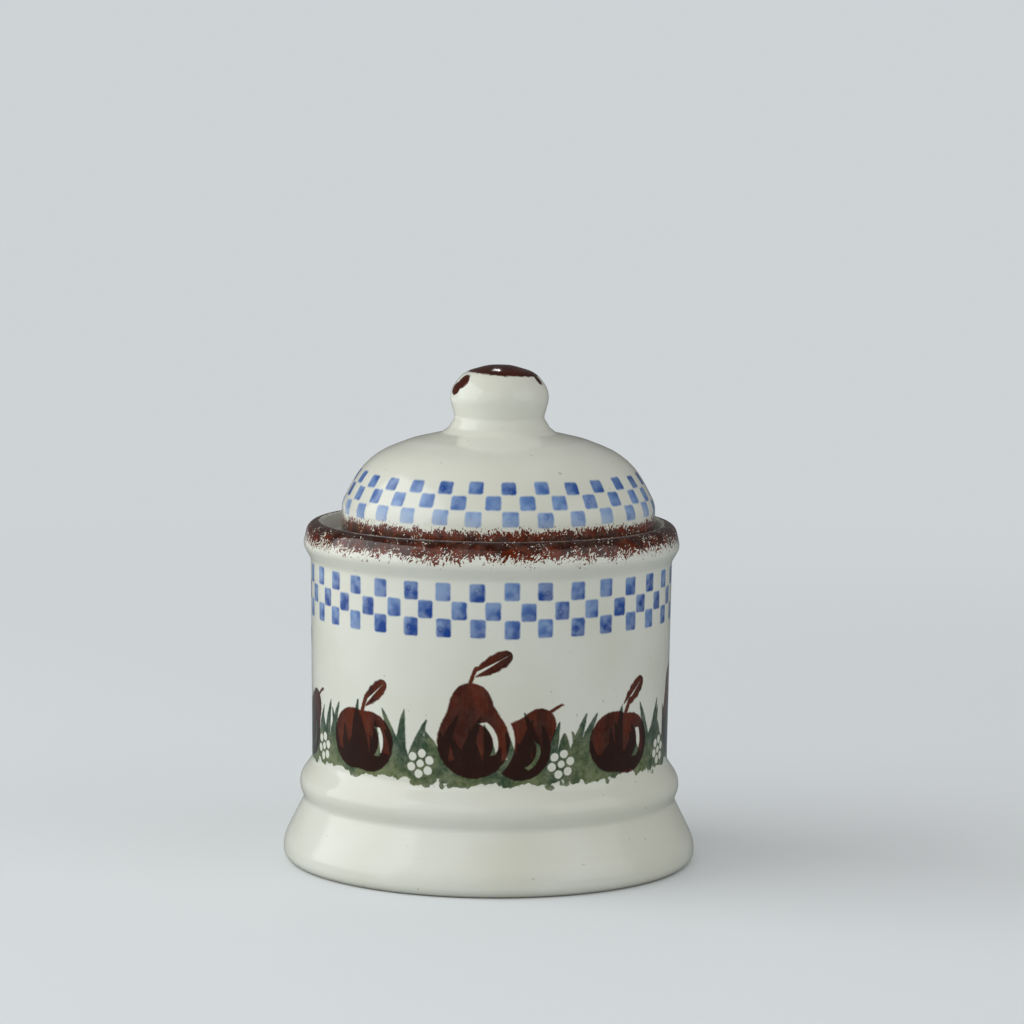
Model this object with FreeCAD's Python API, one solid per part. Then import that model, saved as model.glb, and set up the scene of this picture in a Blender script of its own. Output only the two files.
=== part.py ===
"""Lidded stoneware jam pot: a turned pot on a flared foot, and a domed lid with a knob and a spoon notch.

Millimetres, +Z up. The origin is on the pot's axis at the level it stands on, and +X is to the viewer's right.
Every section is a list of corners (radius, height, rounding) that is turned about the axis.
"""
import FreeCAD, Part
import math
import os

# ---------------------------------------------------------------- driving sizes of the pot
POT_H = 82.35  # standing level to the crest of the rim
BODY_R = 43.2  # outside radius of the wall, just above the bead
BODY_WIDEN = 0.55  # how much wider the wall is just under the rim
FOOT_PROUD = 6.85  # how far the foot stands out of the body's wall
FOOT_SIDE_H = 4.9  # height of the foot's upright side, before it slopes in
FOOT_EDGE_ROUND = 2.5  # rounding of the foot's lower edge
FOOT_SLOPE_ROUND = 8.8  # rounding from the upright side into the slope
WAIST_PROUD = 1.85  # how far the groove above the foot still stands out of the wall
WAIST_H = 15.0  # height of that groove
WAIST_ROUND = 2.0
BEAD_PROUD = 3.5  # how far the bead's corner stands out of the wall
BEAD_H = 4.5  # from the groove to the middle of the bead
BEAD_ROUND = 5.0
BEAD_TOP_H = 9.5  # from the groove to where the bead meets the wall
BEAD_TOP_ROUND = 3.5
BODY_STRAIGHT = 3.5  # height above the bead where the wall starts to widen
RIM_H = 9.05  # crest of the rim down to where the roll starts
ROLL_PROUD = 1.9  # how far the roll's corner stands out of the wall
ROLL_DROP = 5.65  # crest of the rim down to the roll's corner
ROLL_START_ROUND = 2.75
ROLL_ROUND = 2.8
CREST_INSET = 1.3  # the crest's outer corner, in from the roll's corner
CREST_ROUND = 2.9
CREST_W = 3.1  # across the crest, corner to corner
CREST_INNER_ROUND = 1.0
GALLERY_INSET = 1.25  # how far the gallery's side slopes in on its way down from the crest
GALLERY_ROUND = 0.8

WALL = 4.4  # thickness of the pot's wall
FLOOR_T = 5.0  # thickness of the floor
RECESS = 2.5  # depth of the hollow under the foot
FOOT_RING_W = 7.0  # width of the ring that the foot stands on, roundings included
RECESS_ROUND = 1.6
FLOOR_ROUND = 5.0  # rounding inside, where the wall meets the floor
SHOULDER_ROUND = 3.0  # rounding inside, under the lid's ledge

# ---------------------------------------------------------------- how the lid fits the pot
LID_PLAY = 2.0  # gap round the lid in the rim's gallery when it is centred
LID_SHIFT = 1.6  # how far the lid sits off centre, towards +X, within that play
SEAT_DROP = 3.7  # crest of the rim down to the ledge that carries the lid
SEAT_OVERLAP = 2.5  # how far the ledge reaches in past the lid's play
LEDGE_T = 4.5  # thickness of the ledge at its lip
LEDGE_ROUND = 1.3
LEDGE_SLOPE = 1.15  # drop of the ledge's underside for each millimetre outwards

# ---------------------------------------------------------------- driving sizes of the lid
LID_WALL = 4.0  # thickness of the lid
LID_TAPER = 0.15  # how much the lid's upright edge leans in by its top
LID_EDGE_H = 8.4  # height of that edge
LID_EDGE_ROUND = 4.0
LID_FOOT_ROUND = 1.5  # rounding of the lower outside edge
DOME_INSET = 5.9  # the dome's corner between side and crown, in from the edge
DOME_H = 19.3
DOME_ROUND = 18.0
NECK_FOOT_R = 13.9  # where the crown turns up into the knob's neck
NECK_FOOT_H = 25.35
NECK_FOOT_ROUND = 2.0
CROWN_REACH = 7.4  # the crown's corner, out from the foot of the neck
CROWN_DROP = 1.85  # and down from it
CROWN_ROUND = 14.0
NECK_R = 10.6  # the neck's narrowest corner
NECK_H = 3.4  # from the foot of the neck to that corner
NECK_ROUND = 0.7
KNOB_R = 12.4  # the knob's widest corner
KNOB_WIDE_H = 9.6  # from the foot of the neck to the knob's widest corner
KNOB_ROUND = 5.7
KNOB_SHOULDER_INSET = 3.6  # the knob's shoulder corner, in from its widest corner
KNOB_SHOULDER_ROUND = 6.6
KNOB_CAP_R = 2.8
KNOB_CAP_ROUND = 9.0
KNOB_CAP_DROP = 1.75  # from the knob's top to its shoulder corner
KNOB_H = 16.2  # from the foot of the neck to the knob's top

NOTCH_W = 14.0  # spoon notch in the lid's edge: width
NOTCH_H = 11.0  # and height, with a half-round top
NOTCH_EDGE_ROUND = 0.6
NOTCH_TURN = 130.5  # where it is, in degrees from +X towards +Y

# ---------------------------------------------------------------- worked out from the sizes above
FOOT_R = BODY_R + FOOT_PROUD
WAIST_R = BODY_R + WAIST_PROUD
BODY_TOP_R = BODY_R + BODY_WIDEN
ROLL_R = BODY_TOP_R + ROLL_PROUD
CREST_R = ROLL_R - CREST_INSET
GALLERY_R = CREST_R - CREST_W - GALLERY_INSET
LID_R = GALLERY_R - LID_PLAY
MOUTH_R = LID_R - LID_PLAY - SEAT_OVERLAP
FLOOR_Z = RECESS + FLOOR_T
SEAT_Z = POT_H - SEAT_DROP
NOTCH_FROM_R = LID_R - 3 * LID_WALL  # the notch is cut from here outwards
NOTCH_CUT_L = 5 * LID_WALL
TOUCH = 0.01  # places closer than this count as the same


def point(radius, height):
    return FreeCAD.Vector(radius, 0, height)


def corner_reach(before, corner, after):
    """Length that a corner's rounding takes from each of its two sides, and half of the angle between them."""
    here = point(corner[0], corner[1])
    to_before = point(before[0], before[1]) - here
    to_after = point(after[0], after[1]) - here
    half_angle = to_before.getAngle(to_after) / 2
    return corner[2] / math.tan(half_angle), half_angle


def fitted_reaches(corners):
    """Reach of every corner, shortened where two roundings need more than the side between them has."""
    inner = zip(corners, corners[1:], corners[2:])
    wanted = [0.0] + [corner_reach(*trio)[0] for trio in inner] + [0.0]
    fitted = list(wanted)
    for i in range(len(corners) - 1):
        side = math.dist(corners[i][:2], corners[i + 1][:2])
        both = wanted[i] + wanted[i + 1]
        if both > side:
            fitted[i] = min(fitted[i], wanted[i] * side / both)
            fitted[i + 1] = min(fitted[i + 1], wanted[i + 1] * side / both)
    return fitted


def rounded_corner(before, corner, after, reach):
    """The two tangent points and the middle point of the arc that rounds one corner."""
    half_angle = corner_reach(before, corner, after)[1]
    here = point(corner[0], corner[1])
    to_before = (point(before[0], before[1]) - here).normalize()
    to_after = (point(after[0], after[1]) - here).normalize()
    bisector = (to_before + to_after).normalize()
    inset = reach / math.cos(half_angle) - reach * math.tan(half_angle)
    return here + to_before * reach, here + bisector * inset, here + to_after * reach


def section(corners):
    """Closed wire through the corners, each one rounded by its third value."""
    edges = []
    reaches = fitted_reaches(corners)
    start = point(corners[0][0], corners[0][1])
    last = start
    for i in range(1, len(corners) - 1):
        first, middle, end = rounded_corner(corners[i - 1], corners[i], corners[i + 1], reaches[i])
        if (first - last).Length > TOUCH / 1000:
            edges.append(Part.LineSegment(last, first).toShape())
        if reaches[i] > 0:
            edges.append(Part.Arc(first, middle, end).toShape())
        last = end
    finish = point(corners[-1][0], corners[-1][1])
    edges.append(Part.LineSegment(last, finish).toShape())
    edges.append(Part.LineSegment(finish, start).toShape())
    return Part.Wire(edges)


def turned(corners):
    """Solid turned about the Z axis from a section that starts and ends on the axis."""
    face = Part.Face(section(corners))
    return face.revolve(FreeCAD.Vector(0, 0, 0), FreeCAD.Vector(0, 0, 1), 360)


def foot_corners():
    """Underside, foot, groove and bead, from the axis outwards and up."""
    ring_inner_r = FOOT_R - FOOT_EDGE_ROUND - FOOT_RING_W
    return [
        (0, RECESS, 0),
        (ring_inner_r, RECESS, RECESS_ROUND),
        (ring_inner_r + RECESS / 2, 0, RECESS_ROUND / 2),
        (FOOT_R, 0, FOOT_EDGE_ROUND),
        (FOOT_R, FOOT_SIDE_H, FOOT_SLOPE_ROUND),
        (WAIST_R, WAIST_H, WAIST_ROUND),
        (BODY_R + BEAD_PROUD, WAIST_H + BEAD_H, BEAD_ROUND),
        (BODY_R, WAIST_H + BEAD_TOP_H, BEAD_TOP_ROUND),
        (BODY_R, WAIST_H + BEAD_TOP_H + BODY_STRAIGHT, 0),
    ]


def rim_corners():
    """Rolled rim, its crest, and the gallery with the ledge that the lid sits on."""
    return [
        (BODY_TOP_R, POT_H - RIM_H, ROLL_START_ROUND),
        (ROLL_R, POT_H - ROLL_DROP, ROLL_ROUND),
        (CREST_R, POT_H, CREST_ROUND),
        (CREST_R - CREST_W, POT_H, CREST_INNER_ROUND),
        (GALLERY_R, SEAT_Z, GALLERY_ROUND),
        (MOUTH_R, SEAT_Z, LEDGE_ROUND),
        (MOUTH_R, SEAT_Z - LEDGE_T, LEDGE_ROUND),
    ]


def inside_corners():
    """The hollow, a wall's thickness inside the outline, from under the ledge to the floor."""
    top_r = BODY_TOP_R - WALL
    ledge_root_z = SEAT_Z - LEDGE_T - LEDGE_SLOPE * (top_r - MOUTH_R)
    return [
        (top_r, ledge_root_z, SHOULDER_ROUND),
        (BODY_R - WALL, WAIST_H + BEAD_TOP_H, FLOOR_ROUND),
        (WAIST_R - WALL, WAIST_H, FLOOR_ROUND),
        (FOOT_R - WALL - FOOT_EDGE_ROUND, FLOOR_Z, FLOOR_ROUND / 2),
        (0, FLOOR_Z, 0),
    ]


def make_pot():
    return turned(foot_corners() + rim_corners() + inside_corners())


def lid_outside_corners():
    """Outside of the lid from the knob's top down to the seat, with heights above the seat."""
    knob_top = NECK_FOOT_H + KNOB_H
    return [
        (0, knob_top, 0),
        (KNOB_CAP_R, knob_top, KNOB_CAP_ROUND),
        (KNOB_R - KNOB_SHOULDER_INSET, knob_top - KNOB_CAP_DROP, KNOB_SHOULDER_ROUND),
        (KNOB_R, NECK_FOOT_H + KNOB_WIDE_H, KNOB_ROUND),
        (NECK_R, NECK_FOOT_H + NECK_H, NECK_ROUND),
        (NECK_FOOT_R, NECK_FOOT_H, NECK_FOOT_ROUND),
        (NECK_FOOT_R + CROWN_REACH, NECK_FOOT_H - CROWN_DROP, CROWN_ROUND),
        (LID_R - DOME_INSET, DOME_H, DOME_ROUND),
        (LID_R - LID_TAPER, LID_EDGE_H, LID_EDGE_ROUND),
        (LID_R, 0, LID_FOOT_ROUND),
    ]


def lid_inside_corners():
    """Underside of the lid, a wall's thickness in from the dome."""
    side_r = LID_R - LID_WALL
    dome_in = LID_WALL * 0.7
    return [
        (side_r, 0, LID_FOOT_ROUND / 2),
        (side_r - LID_TAPER, LID_EDGE_H - LID_WALL / 4, LID_EDGE_ROUND),
        (LID_R - DOME_INSET - dome_in, DOME_H - dome_in, DOME_ROUND - LID_WALL),
        (NECK_FOOT_R, NECK_FOOT_H - LID_WALL, CROWN_ROUND),
        (0, NECK_FOOT_H - LID_WALL, 0),
    ]


def notch_cutter():
    """Arch-shaped bar that points outwards through the lid's edge, where a spoon's handle goes."""
    half = NOTCH_W / 2
    spring = NOTCH_H - half
    below = -LID_WALL

    def at(across, height):
        return FreeCAD.Vector(NOTCH_FROM_R, across, height)

    arch = Part.Wire([
        Part.LineSegment(at(-half, below), at(half, below)).toShape(),
        Part.LineSegment(at(half, below), at(half, spring)).toShape(),
        Part.Arc(at(half, spring), at(0, NOTCH_H), at(-half, spring)).toShape(),
        Part.LineSegment(at(-half, spring), at(-half, below)).toShape(),
    ])
    bar = Part.Face(arch).extrude(FreeCAD.Vector(NOTCH_CUT_L, 0, 0))
    bar.rotate(FreeCAD.Vector(0, 0, 0), FreeCAD.Vector(0, 0, 1), NOTCH_TURN)
    return bar


def notch_rim_edges(lid):
    """The edges round the notch, outside and inside the lid, that rise above the rounding at its foot."""
    turn = math.radians(NOTCH_TURN)
    outwards = FreeCAD.Vector(math.cos(turn), math.sin(turn), 0)
    sideways = FreeCAD.Vector(-math.sin(turn), math.cos(turn), 0)
    found = []
    for edge in lid.Edges:
        middle = edge.valueAt((edge.FirstParameter + edge.LastParameter) / 2)
        in_width = abs(middle.dot(sideways)) <= NOTCH_W / 2 + TOUCH
        in_wall = middle.dot(outwards) > NOTCH_FROM_R
        in_height = LID_FOOT_ROUND + TOUCH < edge.BoundBox.ZMax < NOTCH_H + NOTCH_EDGE_ROUND
        if in_width and in_wall and in_height:
            found.append(edge)
    return found


def make_lid():
    blank = turned(lid_outside_corners() + lid_inside_corners())
    lid = blank.cut(notch_cutter())
    lid = lid.makeFillet(NOTCH_EDGE_ROUND, notch_rim_edges(lid))
    lid.translate(FreeCAD.Vector(LID_SHIFT, 0, SEAT_Z))
    return lid


def export(node, shape):
    solids = shape.Solids
    assert len(solids) == 1 and solids[0].isValid(), node
    solids[0].exportStep(f"parts/{node}.step")
    box = solids[0].BoundBox
    print(f"{node}: volume {solids[0].Volume / 1000:.1f} cm3, z {box.ZMin:.2f} to {box.ZMax:.2f} mm")


os.makedirs("parts", exist_ok=True)
export("pot", make_pot())
export("lid", make_lid())
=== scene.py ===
# %% [markdown]
# # A lidded jam pot in sponged stoneware
# The pot stands on a flared foot, has a rolled rim with a ledge inside it, and carries a loose domed lid
# with a knob. Cream glaze covers it, and cut sponges have printed it in three colours. This file loads the
# measured solids, builds smoother pieces over them, mixes the glazes from nodes, and lights the result.

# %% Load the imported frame
import math
from functools import partialmethod

import bmesh
import bpy
import numpy as np
from mathutils import Euler, Matrix, Vector
from numpy.linalg import norm


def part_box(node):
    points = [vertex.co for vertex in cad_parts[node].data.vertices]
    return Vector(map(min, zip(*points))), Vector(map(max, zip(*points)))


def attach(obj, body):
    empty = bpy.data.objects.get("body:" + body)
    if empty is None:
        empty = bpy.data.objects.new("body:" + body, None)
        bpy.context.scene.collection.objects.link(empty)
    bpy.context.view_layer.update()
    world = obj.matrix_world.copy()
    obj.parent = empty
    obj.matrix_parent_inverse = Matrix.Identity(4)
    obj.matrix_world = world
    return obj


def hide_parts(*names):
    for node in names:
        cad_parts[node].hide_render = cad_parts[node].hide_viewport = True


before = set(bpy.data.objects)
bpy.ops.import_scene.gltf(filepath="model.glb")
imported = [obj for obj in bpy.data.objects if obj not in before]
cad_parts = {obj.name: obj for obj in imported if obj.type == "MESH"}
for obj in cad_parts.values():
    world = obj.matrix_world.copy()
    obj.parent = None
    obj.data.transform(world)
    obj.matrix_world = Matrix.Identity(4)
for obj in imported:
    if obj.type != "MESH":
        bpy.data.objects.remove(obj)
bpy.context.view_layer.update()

# %% [markdown]
# Everything is in metres here, but a potter thinks in millimetres, so the section below is written in
# millimetres. Its size and place come from the boxes of the two solids: the foot's radius, the rim's
# height, the lid's seat and how far the lid has slid off centre.

# %% Sizes from the frame
MM = 0.001
(_, _, pot_base), (pot_side, _, pot_top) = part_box("pot")
(lid_left, _, lid_base), (lid_right, _, lid_top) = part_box("lid")
FOOT_R = pot_side / MM
POT_H = (pot_top - pot_base) / MM
SEAT_Z = lid_base / MM
LID_SHIFT = (lid_left + lid_right) / 2 / MM
LID_R = (lid_right - lid_left) / 2 / MM
LID_H = (lid_top - lid_base) / MM
FOOT_FLARE = 6.85
WALL_SPREAD = 0.55
BODY_R = FOOT_R - FOOT_FLARE
BODY_TOP_R = BODY_R + WALL_SPREAD
print(f"foot {FOOT_R:.2f}, rim at {POT_H:.2f}, seat at {SEAT_Z:.2f}, lid {LID_R:.2f} x {LID_H:.2f} mm")

# %% [markdown]
# A thrown or cast shape is easiest to describe by the corners of its section, each with a rounding, as a
# turner marks out a profile. `rounded` turns such a list into points that follow straight runs and arcs.


# %% A section made of rounded corners
ARC_STEP = 7.0
TINY = 1e-6


def rounded(corners, step):
    """Points (radius, height) along the corners: `step` apart on runs, ARC_STEP degrees apart on arcs."""
    points = [np.array(corners[0][:2], float)]
    for before, corner, after in zip(corners, corners[1:], corners[2:]):
        here = np.array(corner[:2], float)
        back = np.array(before[:2]) - here
        ahead = np.array(after[:2]) - here
        back /= norm(back)
        ahead /= norm(ahead)
        half = math.acos(np.clip(back @ ahead, -1, 1)) / 2
        turn = math.pi - 2 * half
        middle = here + (back + ahead) / norm(back + ahead) * corner[2] / math.sin(half)
        start = here + back * corner[2] / math.tan(half)
        steps = max(2, round(math.degrees(turn) / ARC_STEP))
        side = math.copysign(1, -back[0] * ahead[1] + back[1] * ahead[0])
        for i in range(steps + 1 if corner[2] else 1):
            angle = side * turn * i / steps
            spoke = start - middle
            swing = np.array([[math.cos(angle), -math.sin(angle)], [math.sin(angle), math.cos(angle)]])
            points.append(middle + swing @ spoke)
    points.append(np.array(corners[-1][:2], float))
    dense = [points[0]]
    for first, last in zip(points, points[1:]):
        pieces = max(1, round(norm(last - first) / step))
        if norm(last - first) > TINY:
            dense += [first + (last - first) * (i + 1) / pieces for i in range(pieces)]
    return np.array(dense)


print("an arc gets a point every", ARC_STEP, "degrees")

# %% [markdown]
# The pot's section runs from the middle of the underside, out over the foot ring, up the wall, over the
# rim, down into the gallery where the lid sits, and back along the inside to the middle of the floor. Each
# corner is written as its radius, its height and how far it is rounded.

# %% The pot's section
RECESS_H = 2.5
FLOOR_TOP_Z = 7.5
WAIST_H = 15.0
BEAD_TOP_Z = WAIST_H + 9.5
ROLL_R = BODY_TOP_R + 1.9
CREST_R = ROLL_R - 1.3
GALLERY_R = CREST_R - 4.35
MOUTH_R = GALLERY_R - 6.5
WALL = 4.4
SECTION_STEP = 1.1
pot_corners = [
    (0, RECESS_H, 0),
    (FOOT_R - 9.5, RECESS_H, 1.5),
    (FOOT_R - 8.25, 0, 0.8),
    (FOOT_R, 0, 2.5),
    (FOOT_R, 4.9, 8.8),
    (BODY_R + 1.85, WAIST_H, 2.0),
    (BODY_R + 3.5, WAIST_H + 4.5, 5.0),
    (BODY_R, BEAD_TOP_Z, 3.5),
    (BODY_R, BEAD_TOP_Z + 3.5, 0),
    (BODY_TOP_R, POT_H - 9.05, 2.75),
    (ROLL_R, POT_H - 5.65, 2.8),
    (CREST_R, POT_H, 2.9),
    (CREST_R - 3.1, POT_H, 1.0),
    (GALLERY_R, SEAT_Z, 0.8),
    (MOUTH_R, SEAT_Z, 1.3),
    (MOUTH_R, SEAT_Z - 4.5, 1.3),
    (BODY_TOP_R - WALL, SEAT_Z - 11.2, 3.0),
    (BODY_R - WALL, BEAD_TOP_Z, 5.0),
    (BODY_R + 1.85 - WALL, WAIST_H, 5.0),
    (FOOT_R - WALL - 2.5, FLOOR_TOP_Z, 2.4),
    (0, FLOOR_TOP_Z, 0),
]
pot_section = rounded(pot_corners, step=SECTION_STEP)
print("pot section:", len(pot_section), "points")

# %% [markdown]
# ## Writing nodes as formulas
# Dozens of Math nodes are hard to read one by one. `Num` stands for a number inside a node tree, and
# arithmetic on it adds the nodes, so a pattern further down reads as the formula that it is.


# %% A number that adds its own nodes
class Num:
    """A number in a node tree. Arithmetic on it adds Math nodes, so a formula reads as a formula."""

    def __init__(self, tree, socket):
        self.tree = tree
        self.socket = socket

    def op(self, operation, *others):
        node = add(self.tree, "ShaderNodeMath", {"operation": operation})
        for place, value in zip(node.inputs, (self, *others)):
            feed(self.tree, place, value)
        return Num(self.tree, node.outputs[0])

    def __rsub__(self, other):
        return (self * -1.0) + other

    __add__ = __radd__ = partialmethod(op, "ADD")
    __mul__ = __rmul__ = partialmethod(op, "MULTIPLY")
    __sub__ = partialmethod(op, "SUBTRACT")
    __truediv__ = partialmethod(op, "DIVIDE")
    __abs__ = partialmethod(op, "ABSOLUTE")

    def smooth(self, low, high):
        """0 below `low`, 1 above `high`, with a soft step between."""
        soft = {"interpolation_type": "SMOOTHSTEP"}
        node = add(self.tree, "ShaderNodeMapRange", soft, Value=self, From_Min=low, From_Max=high)
        return Num(self.tree, node.outputs["Result"])


print("a Num can:", [word for word in dir(Num) if not word.startswith("__")])


# %% Adding and joining nodes
def feed(tree, place, value):
    """Puts a Num, a socket or a plain value into a socket."""
    if isinstance(value, Num):
        value = value.socket
    if isinstance(value, bpy.types.NodeSocket):
        tree.links.new(value, place)
    else:
        place.default_value = value


def give(tree, node, **inputs):
    """Sets or joins a node's inputs. Underscores in their names stand for spaces."""
    for name, value in inputs.items():
        feed(tree, node.inputs[name.replace("_", " ")], value)


def add(tree, kind, settings=None, **inputs):
    """A new node with its settings and inputs."""
    node = tree.nodes.new(kind)
    for name, value in (settings or {}).items():
        setattr(node, name, value)
    give(tree, node, **inputs)
    return node


def num(tree, node, output=0):
    """One of a node's outputs as a Num."""
    return Num(tree, node.outputs[output])


def split(tree, vector):
    """The three parts of a vector."""
    node = add(tree, "ShaderNodeSeparateXYZ", Vector=vector)
    return [num(tree, node, i) for i in range(3)]


def join(tree, x, y, z):
    """A vector from its three parts."""
    return add(tree, "ShaderNodeCombineXYZ", X=x, Y=y, Z=z).outputs[0]


print("node helpers ready")

# %% Groups with named sockets
SOCKETS = {
    "num": "Float",
    "int": "Int",
    "vector": "Vector",
    "colour": "Color",
    "mesh": "Geometry",
    "object": "Object",
    "material": "Material",
}


def numbers(labels):
    """Sockets of these names, each for a number."""
    return {label: "num" for label in labels.split()}


def new_group(name, inputs, outputs, kind="ShaderNodeTree"):
    """A node group with named sockets. Returns the tree, its inputs by name, and its output node."""
    tree = bpy.data.node_groups.new(name, kind)
    for way, sockets in (("INPUT", inputs), ("OUTPUT", outputs)):
        for label, sort in sockets.items():
            tree.interface.new_socket(label, in_out=way, socket_type="NodeSocket" + SOCKETS[sort])
    entry = tree.nodes.new("NodeGroupInput")
    got = {
        label: Num(tree, entry.outputs[label]) if sort in ("num", "int") else entry.outputs[label]
        for label, sort in inputs.items()
    }
    return tree, got, tree.nodes.new("NodeGroupOutput")


print("sockets that a group can have:", sorted(SOCKETS))

# %% [markdown]
# ## Turning a section with Geometry Nodes
# A pot is a lathe shape: one section, turned. The tree starts from a flat grid. Every column of the grid is
# one angle and every row is one point of the section, so moving each grid point to (angle, section point)
# wraps the grid round the axis. Merging by distance then closes the seam and the two poles. A slow noise
# moves the wall by a tenth of a millimetre, because hands and kiln leave no ware perfectly round.

# %% The lathe tree
WOBBLE_CLIMB = 9.0
WOBBLE_SCALE = 1.3
WOBBLE_REST = 0.8
WOBBLE_FADE = 30.0


def make_lathe():
    inputs = {"Section": "object", "Columns": "int", "Rows": "int", "Glaze": "material"}
    inputs.update(numbers("Wobble Seed"))
    tree, got, end = new_group("Lathe", inputs, {"Ware": "mesh"}, kind="GeometryNodeTree")
    counts = {"Vertices_X": got["Columns"] + 1, "Vertices_Y": got["Rows"]}
    grid = add(tree, "GeometryNodeMeshGrid", Size_X=1.0, Size_Y=1.0, **counts)
    across, along, _ = split(tree, add(tree, "GeometryNodeInputPosition").outputs[0])
    section = add(tree, "GeometryNodeObjectInfo", Object=got["Section"])
    row = (along + 0.5) * (got["Rows"] - 1.0)
    sample = add(
        tree, "GeometryNodeSampleIndex", {"data_type": "FLOAT_VECTOR", "domain": "POINT"},
        Geometry=section.outputs["Geometry"], Index=row.op("ROUND"),
        Value=add(tree, "GeometryNodeInputPosition").outputs[0],
    )
    radius, share, height = split(tree, sample.outputs[0])
    angle = across * math.tau
    # The noise is read on a ring, so it meets itself where the turn closes. Nearly all of it is below
    # WOBBLE_REST, so the wall moves inwards, and it fades out towards the axis.
    ring = join(tree, angle.op("SINE"), angle.op("COSINE") * -1.0, height * WOBBLE_CLIMB)
    four = {"noise_dimensions": "4D"}
    noise = add(tree, "ShaderNodeTexNoise", four, Vector=ring, W=got["Seed"], Scale=WOBBLE_SCALE)
    sway = (num(tree, noise, "Fac") - WOBBLE_REST) * got["Wobble"]
    swollen = radius + sway * (radius * WOBBLE_FADE).op("MINIMUM", 1.0)
    spot = join(tree, angle.op("SINE") * swollen, angle.op("COSINE") * swollen * -1.0, height)
    named = add(
        tree, "GeometryNodeStoreNamedAttribute", {"data_type": "FLOAT2", "domain": "CORNER"},
        Geometry=grid.outputs["Mesh"], Name="OFBake", Value=join(tree, across + 0.5, share, 0.0),
    )
    turned = add(tree, "GeometryNodeSetPosition", Geometry=named.outputs[0], Position=spot)
    closed = add(tree, "GeometryNodeMergeByDistance", Geometry=turned.outputs[0], Distance=TINY)
    smooth = add(tree, "GeometryNodeSetShadeSmooth", Geometry=closed.outputs[0])
    real = add(tree, "GeometryNodeRealizeInstances", Geometry=smooth.outputs[0])
    glazed = add(tree, "GeometryNodeSetMaterial", Geometry=real.outputs[0], Material=got["Glaze"])
    give(tree, end, Ware=glazed.outputs[0])
    return tree


LATHE = make_lathe()
print("lathe tree:", len(LATHE.nodes), "nodes")


# %% Turn the section into a mesh
def place_object(name, data):
    """A new object at the origin, put into the scene."""
    thing = bpy.data.objects.new(name, data)
    bpy.context.scene.collection.objects.link(thing)
    return thing


def line_object(name, points, shares):
    """A bare line of vertices for the lathe. X is radius, Z is height, Y is the place on the bake map."""
    mesh = bpy.data.meshes.new(name)
    spots = [(r * MM, share, z * MM) for (r, z), share in zip(points, shares)]
    mesh.from_pydata(spots, [(i, i + 1) for i in range(len(spots) - 1)], [])
    return place_object(name, mesh)


def face_outwards(mesh):
    """Turns every face of a closed mesh outwards."""
    shape = bmesh.new()
    shape.from_mesh(mesh)
    bmesh.ops.recalc_face_normals(shape, faces=shape.faces)
    shape.to_mesh(mesh)
    shape.free()


def turn_on_lathe(name, section, shares, columns, wobble, seed, glaze):
    """Turns a section through the lathe tree, keeps the plain mesh and clears away the tools."""
    line = line_object(name + "_section", section, shares)
    blank = place_object(name + "_blank", bpy.data.meshes.new(name + "_blank"))
    lathe = blank.modifiers.new("Lathe", "NODES")
    lathe.node_group = LATHE
    rows = len(section)
    values = dict(Section=line, Columns=columns, Rows=rows, Wobble=wobble, Seed=seed, Glaze=glaze)
    for item in LATHE.interface.items_tree:
        if item.name in values:
            lathe[item.identifier] = values[item.name]
    graph = bpy.context.evaluated_depsgraph_get()
    mesh = bpy.data.meshes.new_from_object(blank.evaluated_get(graph), depsgraph=graph)
    mesh.name = name
    for spent in (blank, line):
        bpy.data.objects.remove(spent)
    face_outwards(mesh)
    print(name, len(mesh.vertices), "vertices", len(mesh.polygons), "faces")
    return place_object(name, mesh)


# %% [markdown]
# ## Camera, floor and light
# The pot is seen from a little above, through a long lens that keeps its sides nearly straight. The camera
# is rolled by half a degree, as a hand-set tripod is.

# %% Camera
CAMERA_PLACE = Vector((0, -0.880, 0.184))
CAMERA_PITCH = math.radians(6.45)
CAMERA_ROLL = math.radians(0.55)

lens = bpy.data.cameras.new("camera")
lens.lens = 128.7
lens.sensor_width = 36
lens.shift_x = 0.0197
camera = place_object("camera", lens)
aim = Euler((math.pi / 2 - CAMERA_PITCH, 0, 0)).to_matrix() @ Matrix.Rotation(CAMERA_ROLL, 3, "Z")
camera.matrix_world = Matrix.Translation(CAMERA_PLACE) @ aim.to_4x4()
bpy.context.scene.camera = camera
print("camera at", tuple(round(c, 3) for c in CAMERA_PLACE))

# %% [markdown]
# Colours are written as a screen shows them, from 0 to 255, because that is how an eye compares them.
# `paint` turns them into the linear light that shaders work with.


# %% Colours as a painter mixes them
def to_linear(level):
    """One display value of 0 to 255 as linear light. The constants are those of the sRGB curve."""
    level = level / 255
    return level / 12.92 if level <= 0.04045 else ((level + 0.055) / 1.055) ** 2.4


def paint(red, green, blue):
    """A colour in display values, as the linear colour with alpha that a socket takes."""
    return (to_linear(red), to_linear(green), to_linear(blue), 1.0)


def mix_colour(tree, factor, first, second):
    node = add(tree, "ShaderNodeMix", {"data_type": "RGBA"})
    for index, value in ((0, factor), (6, first), (7, second)):
        feed(tree, node.inputs[index], value)
    return node.outputs[2]


def mix_shaders(tree, factor, first, second):
    node = tree.nodes.new("ShaderNodeMixShader")
    for place, value in zip(node.inputs, (factor, first, second)):
        feed(tree, place, value)
    return node.outputs[0]


print("a display value of 128 is", round(to_linear(128), 3), "in linear light")

# %% [markdown]
# The floor is one big matt sheet. It looks pale to the camera but darker to the glaze, because a studio
# table ends a short way off, and an endless pale one would put a veil over the dark prints. Only past its
# left edge does the glaze mirror the bright side of the room. The light that the floor scatters up under
# the rim and the bead is stronger than what the glaze mirrors of it. Far from the pot the floor gives way
# to the tone of the air, so no horizon shows.

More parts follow.
